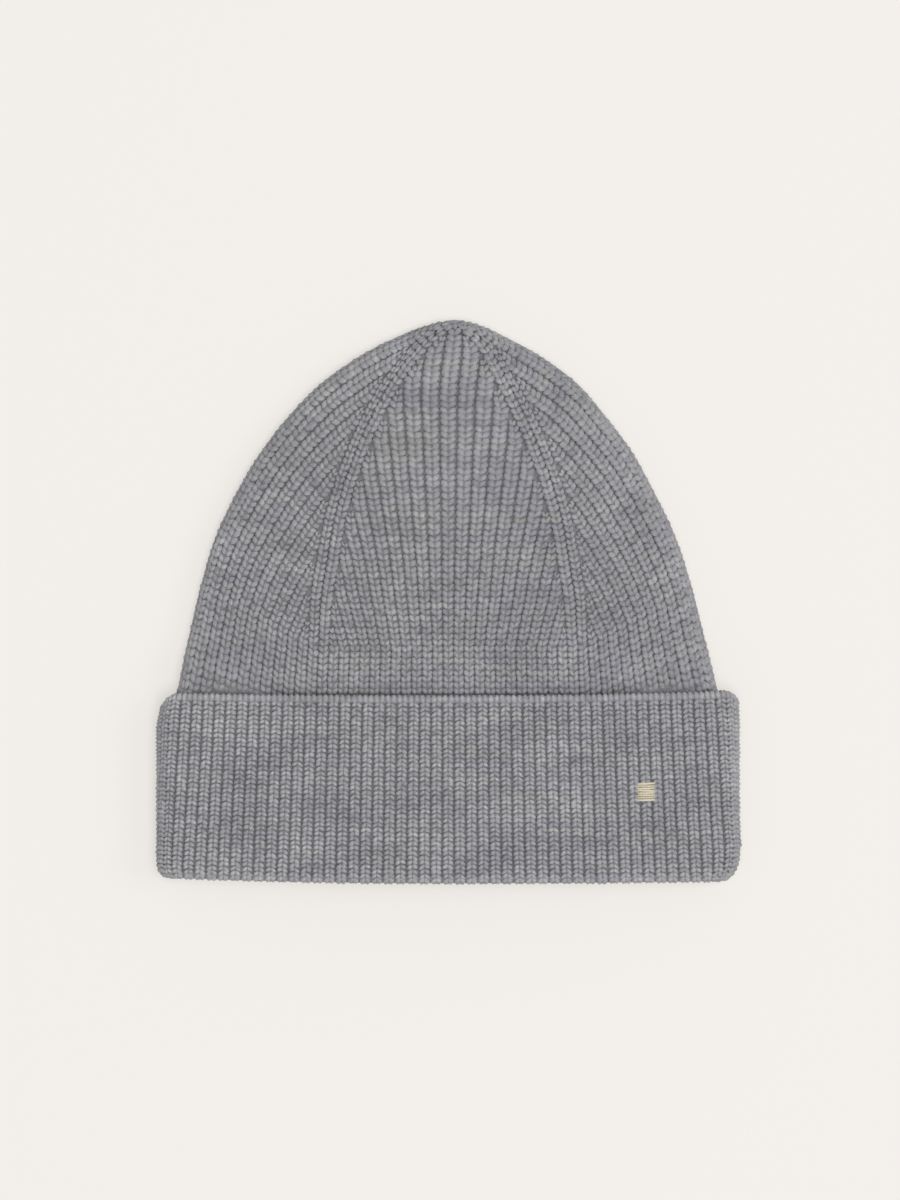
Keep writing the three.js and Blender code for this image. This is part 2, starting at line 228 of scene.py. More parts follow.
def outline_distance(across, height):
    """Distance from each point to the silhouette, worked out on the nearest pieces of it."""
    place = np.stack([np.ravel(across), np.ravel(height)], -1)
    best = np.full(len(place), np.inf)
    starts, ends = OUTLINE[:-1], OUTLINE[1:]
    batch = 4000
    for first in range(0, len(place), batch):
        some = place[first:first + batch]
        gaps = ((some[:, None, :] - OUTLINE[None, :, :]) ** 2).sum(-1)
        nearest = np.clip(gaps.argmin(1), 1, len(OUTLINE) - 2)
        for piece in (nearest - 1, nearest):
            span = ends[piece] - starts[piece]
            t = ((some - starts[piece]) * span).sum(-1) / (span * span).sum(-1)
            foot = starts[piece] + span * np.clip(t, 0, 1)[:, None]
            found = np.linalg.norm(some - foot, axis=1)
            best[first:first + batch] = np.minimum(best[first:first + batch], found)
    return best.reshape(np.shape(across))


# Where the knit lies
def front_height(course):
    """Height of a course on the front gore, whose courses lie level."""
    below = CUFF_LINE + (course / HEM_COURSE) * (HEM_HEIGHT - CUFF_LINE)
    above = CUFF_LINE + (course / TOP_COURSE) * (LENGTH - CUFF_LINE)
    return np.where(course < 0, below, above)


def side_point(edge, course):
    """Where a course meets the side edge."""
    total, start = edge[1][-1], edge[1][0]
    pitch = total / (TOP_COURSE + SIDE_LEAD)
    share = course / HEM_COURSE
    below = (1 - share) * SIDE_LEAD * pitch + share * start
    return edge_point(edge, np.where(course < 0, below, (course + SIDE_LEAD) * pitch))


def middle_line(height):
    share = np.clip((height - LEAN_HEIGHT) / (LENGTH - LEAN_HEIGHT), 0, 1)
    return TIP[0] * share * share * (3 - 2 * share)


def half_ribs(course):
    """Ribs from a gore's middle to its fashioned line."""
    share = np.clip((course - FIRST_DECREASE) / (TOP_COURSE - FIRST_DECREASE), 0, None)
    return HALF_GORE_RIBS + (TOP_HALF_RIBS - HALF_GORE_RIBS) * share


def cover_at(distance, rounded, inset):
    """0 at the silhouette and 1 where the rounded edge has come level, as on a quarter circle."""
    short = 1 - np.clip((distance - inset) / np.maximum(rounded - inset, 0.2), 0, 1)
    return np.sqrt(1 - short * short)


def crown_lift(across, height, cover, face, inset):
    """Height above the floor of a point on the front (face 1) or the back (face -1)."""
    middle, half = outline_half(height)
    lift = eased_lookup(CROWN_SECTIONS, "lift", height)
    edge = eased_lookup(CROWN_SECTIONS, "edge", height)
    share = np.clip(np.abs(across - middle) / half, 0, 1)
    dome = eased_lookup(CROWN_SECTIONS, "rise", height) * (1 - share * share)
    return lift + edge + face * (edge - inset) * cover + np.where(face > 0, dome * cover, 0)


# Most of the way from a side edge to the fashioned line that the rounded edge takes up
MOST_OF_RUN = 0.6


def crown_point(gore, rib, course, depth):
    """Points of the crown. Gores run round from the front (0) over the right side (1) and the
    back (2) to the left (3), rib counts from the gore's middle, and depth(face, cover) says how
    far inside the outer face a point lies."""
    rib, course = np.broadcast_arrays(np.asarray(rib, float), np.asarray(course, float))
    share = rib / half_ribs(course)
    height = front_height(course)
    half = front_half(height)
    if gore % 2 == 0:
        face = np.full(rib.shape, 1.0 if gore == 0 else -1.0)
        across = middle_line(height) + face * share * half
        rounded = eased_lookup(CROWN_SECTIONS, "round", height)
        distance = outline_distance(across, height)
        inset = depth(face, cover_at(distance, rounded, 0))
        cover = cover_at(distance, rounded, inset)
        return np.stack([across, height, crown_lift(across, height, cover, face, inset)], -1)
    right = gore == 1
    face = np.where((rib < 0) == right, 1.0, -1.0)
    start = side_point(RIGHT_EDGE if right else LEFT_EDGE, course)
    line = np.stack([middle_line(height) + (half if right else -half), height], -1)
    to_line = line - start
    run = np.linalg.norm(to_line, axis=-1)
    to_line = to_line / np.maximum(run, 1e-6)[..., None]
    rounded = np.minimum(eased_lookup(CROWN_SECTIONS, "round", start[..., 1]), run * MOST_OF_RUN)
    edge = eased_lookup(CROWN_SECTIONS, "edge", start[..., 1])
    arc = (math.pi / 4) * (rounded + edge)
    position = np.abs(share) * (run - rounded + arc)
    angle = np.clip(position / arc, 0, 1) * (math.pi / 2)
    inset = depth(face, np.sin(angle))
    within = position < arc
    turning = inset + (rounded - inset) * (1 - np.cos(angle))
    reach = np.where(within, turning, rounded + position - arc)
    place = start + to_line * reach[..., None]
    near_tip = cover_at(outline_distance(place[..., 0], place[..., 1]), rounded, inset)
    cover = np.where(within, np.sin(angle), near_tip)
    level = crown_lift(place[..., 0], place[..., 1], cover, face, inset)
    return np.concatenate([place, level[..., None]], -1)


# Smallest radius at which the knit turns round the cuff's side folds
SMALLEST_TURN = 0.8


def cuff_sag(across, height):
    """How far the cuff's knit lies toward the tip at this place, which is more near its ends."""
    ends = zip(CUFF_SAG["left"], CUFF_SAG["right"])
    low, high = (np.where(across < 0, left, right) for left, right in ends)
    return (low + (high - low) * np.clip(height / CUFF_HEIGHT, 0, 1)) * (across / CUFF_HALF_WIDTH) ** 2


def cuff_point(rib, height, inset, bend=1.0):
    """Points of the cuff, with ribs counted from the middle of its front round over the right.
    bend is the share of the cuff's sag that the point follows."""
    rib, height, inset = np.broadcast_arrays(*(np.asarray(v, float) for v in (rib, height, inset)))
    quarter = CUFF_RIBS / 4
    turned = np.mod(rib + 2 * quarter, CUFF_RIBS) - 2 * quarter
    front = quarter * (1 + CUFF_FAN * (2 * height / CUFF_HEIGHT - 1))
    face = np.where(np.abs(turned) <= front, 1.0, -1.0)
    back = (2 * quarter - np.abs(turned)) / (2 * quarter - front)
    share_round = np.where(face > 0, np.abs(turned) / front, back)
    drawn = np.where(turned < 0, lookup(CUFF_EDGES, "left", height), lookup(CUFF_EDGES, "right", height))
    half = CUFF_HALF_WIDTH - drawn
    edge, rounded, rise = (CUFF_SECTION[key] for key in ("edge", "round", "rise"))
    flat = half - rounded
    arc = (math.pi / 4) * (rounded + edge)
    position = share_round * (flat + drawn + arc)
    near = np.clip((position - (flat + drawn - CORNER_REACH)) / (CORNER_REACH + arc), 0, 1)
    position = position - drawn * near * near * (3 - 2 * near)
    angle = np.clip((position - flat) / arc, 0, 1) * (math.pi / 2)
    turn = np.maximum(rounded - inset, SMALLEST_TURN)
    across = np.clip(position / flat, 0, 1) * (half - inset - turn) + turn * np.sin(angle)
    cover = np.cos(angle)
    share = np.clip(across / half, 0, 1)
    dome = np.where(face > 0, rise * (1 - share * share) * cover, 0)
    sag = bend * cuff_sag(np.sign(turned) * across, height)
    drop = np.where(turned < 0, CORNER_DROP["left"] * np.sin(angle) ** CORNER_DROP["left_power"],
                    CORNER_DROP["right"] * np.sin(angle) ** CORNER_DROP["right_power"])
    near_edge = np.clip(1 - (CUFF_HEIGHT - height) / CORNER_DROP["run"], 0, 1)
    drop = drop * near_edge ** CORNER_DROP["run_power"]
    level = edge + face * (edge - inset) * cover + dome
    return np.stack([np.sign(turned) * across, height + sag - drop, level], -1)


def in_metres(points):
    """Places in the frame of the solid, which has its origin under the middle of the hat."""
    return (np.asarray(points) - np.array([0, LENGTH / 2, 0])) * MM


# Height of a course and width of a rib of the cuff, at which the yarn has its plain radius
COURSE_PITCH = 1.77
USUAL_RIB = 4.45
# Courses of the cuff, counted from the rolled top edge down the outside, round the lower fold
# and up the inner leg
FOLD_RADIUS = WALL + LAYER_GAP / 2
STRAIGHT_COURSES = (CUFF_HEIGHT - FOLD_RADIUS) / COURSE_PITCH
FOLD_COURSES = 4.2
LEG_COURSES = (HEM_HEIGHT - HEM_GAP - FOLD_RADIUS) / COURSE_PITCH


def cuff_knit_point(rib, course, depth):
    """A point of the cuff at a course below its top edge and a depth inside its outer face."""
    rib, course, depth = np.broadcast_arrays(*(np.asarray(v, float) for v in (rib, course, depth)))
    past = course - STRAIGHT_COURSES
    turned = np.clip(past / FOLD_COURSES, 0, 1) * math.pi
    up_leg = np.clip(past - FOLD_COURSES, 0, None) * COURSE_PITCH
    height = np.where(past < 0, CUFF_HEIGHT - course * COURSE_PITCH,
                      FOLD_RADIUS - (FOLD_RADIUS - depth) * np.sin(turned) + up_leg)
    inset = np.where(past < 0, depth, FOLD_RADIUS - (FOLD_RADIUS - depth) * np.cos(turned))
    bend = 1 - np.clip(up_leg / (LEG_COURSES * COURSE_PITCH), 0, 1)
    return cuff_point(rib, height, inset, bend)


# Node trees written as expressions
class Wire:
    """A socket that adds Math and Vector Math nodes when it is used in arithmetic."""

    def __init__(self, nodes, socket, is_vector=None):
        self.nodes, self.socket = nodes, socket
        self.is_vector = socket.type == "VECTOR" if is_vector is None else is_vector

    def _with(self, other, operation, swapped=False):
        other_is_vector = isinstance(other, Wire) and other.is_vector
        if operation == "MULTIPLY" and self.is_vector != other_is_vector:
            line, size = (self, other) if self.is_vector else (other, self)
            return self.nodes.scaled(line, size)
        pair = (other, self) if swapped else (self, other)
        kind = "ShaderNodeVectorMath" if self.is_vector or other_is_vector else "ShaderNodeMath"
        return self.nodes.add(kind, dict(operation=operation), {0: pair[0], 1: pair[1]})

    def __add__(self, other):
        return self._with(other, "ADD")

    def __radd__(self, other):
        return self._with(other, "ADD", True)

    def __sub__(self, other):
        return self._with(other, "SUBTRACT")

    def __rsub__(self, other):
        return self._with(other, "SUBTRACT", True)

    def __mul__(self, other):
        return self._with(other, "MULTIPLY")

    def __rmul__(self, other):
        return self._with(other, "MULTIPLY", True)

    def __pow__(self, other):
        return self._with(other, "POWER")

    def maths(self, operation):
        return self.nodes.add("ShaderNodeMath", dict(operation=operation), {0: self})

    def unit(self):
        return self.nodes.add("ShaderNodeVectorMath", dict(operation="NORMALIZE"), {0: self})

    def part(self, axis):
        split = self.nodes.add("ShaderNodeSeparateXYZ", {}, {0: self}, out=None)
        return Wire(self.nodes, split.outputs[axis])


class Nodes:
    """Adds nodes to one tree."""

    def __init__(self, tree):
        self.tree = tree

    def add(self, kind, settings=None, inputs=None, out=0):
        """One node with its settings, and with a value or a link for each socket that is named.
        Gives back its output out, or the node itself where out is None."""
        node = self.tree.nodes.new(kind)
        for name, value in (settings or {}).items():
            if name == "stops":
                set_stops(node.color_ramp, value)
            else:
                setattr(node, name, value)
        for key, value in (inputs or {}).items():
            socket = node.inputs[key]
            if isinstance(value, Wire):
                self.tree.links.new(value.socket, socket)
            else:
                socket.default_value = value
        return node if out is None else Wire(self, node.outputs[out])

    def scaled(self, line, size):
        return self.add("ShaderNodeVectorMath", dict(operation="SCALE"), {"Vector": line, "Scale": size})


def set_stops(ramp, stops):
    """Gives a colour ramp its stops, each a position and a colour."""
    ramp.elements[0].position = stops[0][0]
    ramp.elements[1].position = stops[-1][0]
    for position, _ in stops[1:-1]:
        ramp.elements.new(position)
    for element, (_, colour) in zip(ramp.elements, stops):
        element.color = (*colour, 1)


def named(nodes, name, kind="FLOAT_VECTOR"):
    return nodes.add("GeometryNodeInputNamedAttribute", dict(data_type=kind), {"Name": name})


def store(nodes, geometry, name, value, kind="FLOAT_VECTOR"):
    return nodes.add("GeometryNodeStoreNamedAttribute", dict(data_type=kind, domain="POINT"),
                     {"Geometry": geometry, "Name": name, "Value": value})


def plain_mesh(name, points, faces=(), attributes=None):
    mesh = bpy.data.meshes.new(name)
    mesh.from_pydata([tuple(p) for p in points], [], [tuple(f) for f in faces])
    for key, values in (attributes or {}).items():
        values = np.asarray(values, np.float32)
        if values.ndim == 1:
            mesh.attributes.new(key, "FLOAT", "POINT").data.foreach_set("value", values)
        else:
            mesh.attributes.new(key, "FLOAT_VECTOR", "POINT").data.foreach_set("vector", values.ravel())
    mesh.update()
    return mesh


def put(name, mesh):
    piece = bpy.data.objects.new(name, mesh)
    bpy.context.scene.collection.objects.link(piece)
    return piece


# One knit stitch: the yarn comes up out of the groove, rounds the rib as two legs that meet
# at the middle, and goes down again. across is in ribs, along in courses, up in millimetres
STITCH_STATIONS = [
    dict(across=-0.395, along=0.44, up=-1.25, plump=0.50),
    dict(across=-0.340, along=0.22, up=-0.40, plump=0.85),
    dict(across=-0.230, along=-0.03, up=0.08, plump=1.0),
    dict(across=-0.115, along=-0.21, up=-0.16, plump=0.89),
    dict(across=0.0, along=-0.32, up=-0.80, plump=0.57),
    dict(across=0.115, along=-0.21, up=-0.16, plump=0.89),
    dict(across=0.230, along=-0.03, up=0.08, plump=1.0),
    dict(across=0.340, along=0.22, up=-0.40, plump=0.85),
    dict(across=0.395, along=0.44, up=-1.25, plump=0.50),
]
# Where the two legs of a stitch meet
LEGS_MEET = min(station["along"] for station in STITCH_STATIONS)
# The same stitch with fewer rings, for the side that the hat lies on
PLAIN_STITCH_STATIONS = STITCH_STATIONS[::2]
# A loop of the rolled edge, which stands up from the first course and turns over the top
EDGE_STATIONS = [
    dict(across=0.0, along=-0.80, up=-1.35, plump=0.60),
    dict(across=0.0, along=-0.62, up=-0.45, plump=0.86),
    dict(across=0.0, along=-0.25, up=0.0, plump=1.0),
    dict(across=0.0, along=0.25, up=-0.02, plump=0.96),
    dict(across=0.0, along=0.70, up=-0.50, plump=0.70),
]
# One thread, from one side to the other, of the sewn square and of the drawn tip
THREAD_STATIONS = [
    dict(across=-0.50, along=0.0, up=-1.20, plump=0.70),
    dict(across=-0.42, along=0.0, up=-0.15, plump=1.0),
    dict(across=0.0, along=0.0, up=0.15, plump=1.0),
    dict(across=0.42, along=0.0, up=-0.15, plump=1.0),
    dict(across=0.50, along=0.0, up=-1.20, plump=0.70),
]
STITCH_SIDES = 6
STITCH_FLATNESS = 0.85
# Width of a rib and height of a course that the yarn is shaped for
TEMPLATE_RIB, TEMPLATE_COURSE = 4.5, 1.9
# How much of a course's height the yarn fills
CROWN_FULLNESS, CUFF_FULLNESS = 0.97, 1.07
# How uneven the yarn is in the stitches, in the rolled edge's loops and in laid threads
UNEVENNESS = dict(stitch=0.13, loop=0.07, thread=0.04)
# How far a wholly uneven stitch lies from its place, and how much it leans, in courses a rib
SWAY = 0.9
LEAN = 3.6
# Rise of a stitch's legs in the ground's pattern, in courses a rib
LEG_SLOPE = 1.9
# The cuff's first row of stitches, in courses under its rolled edge, and its share of a rib
CUFF_FIRST_COURSE = 0.95
CUFF_STITCH_WIDTH = 0.94


def yarn_template(name, stations, sides=STITCH_SIDES):
    """A closed skin round a line of stations, with the line and the ring offsets as attributes."""
    line = np.stack([column(stations, key) for key in ("across", "along", "up")], -1)
    real = line * np.array([TEMPLATE_RIB, TEMPLATE_COURSE, 1.0])
    tangent = np.gradient(real, axis=0)
    tangent /= np.linalg.norm(tangent, axis=1)[:, None]
    side = np.cross(tangent, [0, 0, 1.0])
    side /= np.linalg.norm(side, axis=1)[:, None]
    up = np.cross(side, tangent)
    path, ring, yarn = [], [], []
    for k, station in enumerate(stations):
        for corner in range(sides):
            angle = TURN * (corner + 0.5) / sides
            path.append(line[k])
            offset = math.cos(angle) * side[k] + math.sin(angle) * STITCH_FLATNESS * up[k]
            ring.append(offset * station["plump"])
            yarn.append([k / (len(line) - 1), corner / sides, 0])
    faces = []
    for k in range(len(line) - 1):
        for corner in range(sides):
            a, b = k * sides + corner, k * sides + (corner + 1) % sides
            faces.append((a, b, b + sides, a + sides))
    faces.append(tuple(range(sides))[::-1])
    faces.append(tuple(len(path) - sides + corner for corner in range(sides)))
    mesh = plain_mesh(name, np.zeros((len(path), 3)), faces, dict(path=path, ring=ring, yarn=yarn))
    return put(name, mesh)


def stitch_tree():
    """Puts a stitch at each knit place and bends it to the knit's own directions there."""
    tree = bpy.data.node_groups.new("knit stitches", "GeometryNodeTree")
    face = tree.interface
    face.new_socket("Places", in_out="INPUT", socket_type="NodeSocketGeometry")
    face.new_socket("Stitch", in_out="INPUT", socket_type="NodeSocketObject")
    for label in ("Yarn radius", "Unevenness", "Fullness"):
        face.new_socket(label, in_out="INPUT", socket_type="NodeSocketFloat")
    face.new_socket("Seed", in_out="INPUT", socket_type="NodeSocketInt")
    face.new_socket("Wool", in_out="INPUT", socket_type="NodeSocketMaterial")
    face.new_socket("Knit", in_out="OUTPUT", socket_type="NodeSocketGeometry")
    nodes = Nodes(tree)
    given = nodes.add("NodeGroupInput", out=None)
    wire = {socket.name: Wire(nodes, socket) for socket in given.outputs if socket.name}
    uneven = nodes.add("FunctionNodeRandomValue", dict(data_type="FLOAT"),
                       {2: -1.0, 3: 1.0, "Seed": wire["Seed"]}, out=1)
    tint = nodes.add("FunctionNodeRandomValue", dict(data_type="FLOAT"),
                     {2: 0.0, 3: 1.0, "Seed": wire["Seed"] + 5}, out=1)
    jitter = nodes.add("FunctionNodeRandomValue", dict(data_type="FLOAT_VECTOR"),
                       {0: (-1.0, -1.0, -1.0), 1: (1.0, 1.0, 1.0), "Seed": wire["Seed"] + 9})
    places = store(nodes, wire["Places"], "plump", 1.0 + uneven * wire["Unevenness"], "FLOAT")
    places = store(nodes, places, "tint", tint, "FLOAT")
    places = store(nodes, places, "sway", jitter * wire["Unevenness"])
    template = nodes.add("GeometryNodeObjectInfo", {}, {"Object": wire["Stitch"], "As Instance": True},
                         out="Geometry")
    stitches = nodes.add("GeometryNodeInstanceOnPoints", {}, {"Points": places, "Instance": template})
    knit = nodes.add("GeometryNodeRealizeInstances", {}, {"Geometry": stitches})
    path, ring = named(nodes, "path"), named(nodes, "ring")
    across, along, out = named(nodes, "across"), named(nodes, "along"), named(nodes, "out")
    thick = wire["Yarn radius"] * named(nodes, "plump", "FLOAT") * named(nodes, "girth", "FLOAT")
    middle = named(nodes, "place") + across * path.part(0) + along * path.part(1)
    middle = middle + named(nodes, "turn") * (path.part(0) * path.part(0))
    sway = named(nodes, "sway")
    middle = middle + out * (path.part(2) * MM) + sway * (SWAY * MM)
    middle = middle + along * (path.part(0) * sway.part(2) * LEAN)
    stretch = along * (ring.part(1) * wire["Fullness"] * (1 / (TEMPLATE_COURSE * MM)))
    skin = across.unit() * ring.part(0) + stretch + out * ring.part(2)
    knit = nodes.add("GeometryNodeSetPosition", {}, {"Geometry": knit, "Position": middle + skin * thick})
    knit = store(nodes, knit, "knit", named(nodes, "knit") + path)
    knit = nodes.add("GeometryNodeSetMaterial", {}, {"Geometry": knit, "Material": wire["Wool"]})
    nodes.add("NodeGroupOutput", {}, {"Knit": knit}, out=None)
    return tree


def knit_piece(name, places, tree, template, material, radius,
               uneven=UNEVENNESS["stitch"], full=CROWN_FULLNESS, seed=SEED):
    """Runs the stitch tree on a list of places and keeps the result as one plain mesh."""
    holder = put(name + "_places", plain_mesh(name + "_places", places["place"], (), places))
    modifier = holder.modifiers.new("knit", "NODES")
    modifier.node_group = tree
    values = {"Stitch": template, "Yarn radius": radius * MM, "Unevenness": uneven, "Fullness": full,
              "Seed": seed, "Wool": material}
    for socket in tree.interface.items_tree:
        if socket.item_type == "SOCKET" and socket.in_out == "INPUT" and socket.name in values:
            modifier[socket.identifier] = values[socket.name]
    bpy.context.view_layer.update()
    evaluated = holder.evaluated_get(bpy.context.evaluated_depsgraph_get())
    mesh = bpy.data.meshes.new_from_object(evaluated)
    holder.modifiers.remove(modifier)
    bpy.data.objects.remove(holder)
    mesh.name = name
    for key in ("path", "ring", "across", "along", "out", "turn", "place", "plump", "sway", "girth"):
        if key in mesh.attributes:
            mesh.attributes.remove(mesh.attributes[key])
    mesh.shade_smooth()
    return put(name, mesh)


# How far to either side of a stitch its surface is read for directions, in ribs and in courses
RIB_STEP, COURSE_STEP = 0.3, 0.35
# How the yarn's girth follows the width of its rib and the height of its course
GIRTH_BY_RIB = dict(power=0.55, least=0.6, most=1.35)
GIRTH_BY_COURSE = dict(power=0.4, least=0.8, most=1.2)


def girth_share(size, rule):
    return np.clip(size ** rule["power"], rule["least"], rule["most"])


def knit_places(surface, rib, course, width=1.0, flip=False, square=False):
    """Place, directions and knit coordinates of stitches on a surface(rib, course), with the
    surface's turn across a rib and the yarn's girth. Where flip is asked for, courses run down,
    and where square is, a stitch lies straight across its column though the courses run aslant."""
    rib, course, width = np.broadcast_arrays(*(np.asarray(v, float) for v in (rib, course, width)))
    here = surface(rib, course)
    right, left = surface(rib + RIB_STEP, course), surface(rib - RIB_STEP, course)
    ahead, behind = surface(rib, course + COURSE_STEP), surface(rib, course - COURSE_STEP)
    across = (right - left) / (2 * RIB_STEP)
    along = (ahead - behind) / (2 * COURSE_STEP)
    turn = (right + left - 2 * here) / RIB_STEP ** 2 / 2
    if square:
        run = along / np.linalg.norm(along, axis=-1)[:, None]
        across = across - run * (across * run).sum(-1)[:, None]
        turn = turn - run * (turn * run).sum(-1)[:, None]
    if flip:
        across = -across
    out = np.cross(across, along)
    out /= np.linalg.norm(out, axis=-1)[:, None]
    wide = width[:, None]
    rib_width = np.linalg.norm(across, axis=-1) * width
    course_height = np.linalg.norm(along, axis=-1)
    girth = (girth_share(rib_width / USUAL_RIB, GIRTH_BY_RIB)
             * girth_share(course_height / COURSE_PITCH, GIRTH_BY_COURSE))
    return dict(
        place=in_metres(here), across=across * MM * wide, along=along * MM, out=out,
        turn=turn * MM * wide * wide, girth=girth,
        knit=np.stack([rib, course, np.zeros_like(course)], -1),
    )


def joined(lists):
    return {key: np.concatenate([places[key] for places in lists]) for key in lists[0]}


# Materials

# Brightness of the floor where it shines as its colour does under the lamps
TABLE_BRIGHTNESS = 1.316


def lit_paper(name, colour, lit):
    """Pale paper on a light table: the share lit of its brightness comes from below it."""
    material = bpy.data.materials.new(name)
    material.use_nodes = True
    shader = material.node_tree.nodes["Principled BSDF"]
    shader.inputs["Base Color"].default_value = (*(value * (1 - lit) for value in colour), 1)
    shader.inputs["Roughness"].default_value = 0.9
    shader.inputs["Emission Color"].default_value = (*colour, 1)
    shader.inputs["Emission Strength"].default_value = lit * TABLE_BRIGHTNESS
    return material


def empty_material(name):
    """A new material and the adder of its nodes."""
    material = bpy.data.materials.new(name)
    material.use_nodes = True
    material.node_tree.nodes.clear()
    return material, Nodes(material.node_tree)


def attribute(nodes, name, out="Fac"):
    return nodes.add("ShaderNodeAttribute", dict(attribute_name=name), out=out)


def noise(nodes, vector, scale, detail, roughness):
    inputs = {"Vector": vector, "Scale": scale, "Detail": detail, "Roughness": roughness}
    return nodes.add("ShaderNodeTexNoise", {}, inputs)


def plies(yarn, twist):
    """Waves of two plies that run aslant round the yarn, with twist radians along it."""
    return (yarn.part(0) * twist + yarn.part(1) * (2 * TURN)).maths("SINE")


def finish_with(nodes, relief, strength, depth, values):
    """Ends a material in its surface, whose bumps are a relief of a depth in millimetres."""
    bump = nodes.add("ShaderNodeBump", {}, {"Height": relief, "Strength": strength, "Distance": depth * MM},
                     out="Normal")
    surface = nodes.add("ShaderNodeBsdfPrincipled", {}, {**values, "Normal": bump}, out="BSDF")
    nodes.add("ShaderNodeOutputMaterial", {}, {"Surface": surface}, out=None)


def thread_material(name, colour):
    """Mercerised thread: plies that run aslant round it and a little change of shade from one
    thread to the next."""
    material, nodes = empty_material(name)
    place = nodes.add("ShaderNodeTexCoord", out="Object")
    fibres = noise(nodes, place, 900.0, 3.0, 0.7)
    twist = plies(attribute(nodes, "yarn", "Vector"), 75.0)
    shade = twist * 0.05 + (fibres - 0.5) * 0.5 + (attribute(nodes, "tint") - 0.5) * 0.22 + 1.0
    finish_with(nodes, twist * 0.5 + fibres, 0.5, 0.2, {
        "Base Color": nodes.scaled(colour, shade), "Roughness": 0.5, "Specular IOR Level": 0.3,
        "Sheen Weight": 0.15,
    })
    return material


# Colours of the wool's fibres, from the darkest to the lightest
WOOL_SHADES = [
    (0.12, (0.120, 0.123, 0.141)),
    (0.42, (0.224, 0.225, 0.241)),
    (0.58, (0.276, 0.277, 0.289)),
    (0.90, (0.440, 0.440, 0.440)),
]
# How far the dye leans from grey at its two ends
DYE_LEANS = dict(straw=(0.022, 0.012, -0.046), violet=(-0.020, -0.012, 0.054))


def knit_pattern(nodes, knit, first_row):
    """Painted shade, painted light and relief of ribs and courses, for the ground that shows without
    its stitches: its colour is darkened as painted shade in the grooves and between courses, and
    brightened as painted light where it comes out to the yarn. The attribute ribbed says where it
    does, and filled where the ground comes out to the yarn."""
    filled, ribbed = attribute(nodes, "filled"), attribute(nodes, "ribbed")
    from_middle = ((knit.part(0) + 0.5).maths("FRACT") - 0.5).maths("ABSOLUTE")
    row = ((knit.part(1) - first_row - from_middle * LEG_SLOPE) * TURN).maths("COSINE")
    groove = (0.5 - (knit.part(0) * TURN).maths("COSINE") * 0.5) ** 4.0
    # Painted shade: the colour is darkened in the grooves beside the ribs and between the courses
    painted_groove_shade = ribbed * (groove * 0.5 + (0.5 - row * 0.5) * 0.4)
    # Painted light where the ground is filled out or ribbed, times the painted shade, then the relief
    return (filled * 0.75 + ribbed * 0.2 + 1.0) * (1.0 - painted_groove_shade), ribbed * (row * 0.8 - groove * 1.6)


def wool_material(name, tone, marl, dye, fleck, stitched=True, first_row=0.0):
    """Marled wool: light and dark fibres in short streaks along the yarn, a little dye that
    leans to violet or to straw, the plies of the yarn and loose fibres. marl is how strong the
    cloudy variation is, dye how far its tint leans, and fleck how strong single fibres are. The
    ground isn't stitched, and where it is filled out its ribs and courses go on from first_row."""
    material, nodes = empty_material(name)
    place = nodes.add("ShaderNodeTexCoord", out="Object")
    knit = attribute(nodes, "knit", "Vector")
    along_yarn = knit * nodes.add("ShaderNodeCombineXYZ", {}, {0: 0.30, 1: 1.05, 2: 1.0})
    flattened = place * nodes.add("ShaderNodeCombineXYZ", {}, {0: 0.55, 1: 1.0, 2: 1.0})
    streaks = noise(nodes, along_yarn, 1.0, 3.0, 0.62)
    clouds = noise(nodes, flattened, 70.0, 2.0, 0.5)
    fibres = noise(nodes, place, 1500.0, 2.0, 0.7)
    flecks = noise(nodes, place, 420.0, 3.0, 0.75)
    dyed = noise(nodes, along_yarn + (31.0, 17.0, 5.0), 0.55, 3.0, 0.7)
    shade = (streaks - 0.5) * (0.75 * marl) + (clouds - 0.5) * (0.65 * marl)
    shade = shade + (fibres - 0.5) * fleck + (flecks - 0.5) * fleck + 0.5
    relief = fibres * 0.6 + flecks * 0.4
    if stitched:
        shade = shade + (attribute(nodes, "tint") - 0.5) * 0.10
        relief = relief + plies(attribute(nodes, "yarn", "Vector"), 60.0) * 0.10
    else:
        # The ground's colour takes painted shade in its grooves and between courses, and painted light
        # where it is filled out
        painted_light_and_shade, pattern = knit_pattern(nodes, knit, first_row)
        relief = relief + pattern + (knit.part(1) * TURN).maths("SINE") * 0.5
    stops = [(position, [value * tone for value in colour]) for position, colour in WOOL_SHADES]
    grey = nodes.add("ShaderNodeValToRGB", dict(stops=stops), {"Fac": shade}, out=None)
    lean = nodes.add("ShaderNodeMapRange", dict(clamp=True),
                     {"Value": dyed, "From Min": 0.32, "From Max": 0.68, "To Min": 0.0, "To Max": 1.0})
    straw, violet = ([1 + dye * share for share in DYE_LEANS[way]] for way in ("straw", "violet"))
    hue = nodes.add("ShaderNodeMix", dict(data_type="RGBA", blend_type="MIX"),
                    {0: lean, 6: (*straw, 1), 7: (*violet, 1)}, out=2)
    colour = nodes.add("ShaderNodeMix", dict(data_type="RGBA", blend_type="MULTIPLY"),
                       {0: 1.0, 6: Wire(nodes, grey.outputs["Color"], False), 7: hue}, out=2)
    finish_with(nodes, relief, 0.6, 0.35, {
        "Base Color": colour if stitched else nodes.scaled(colour, painted_light_and_shade), "Roughness": 0.92,
        "Specular IOR Level": 0.18, "Sheen Weight": 0.25, "Sheen Roughness": 0.5,
        "Sheen Tint": (0.95, 0.95, 1.0, 1.0),
    })
    return material


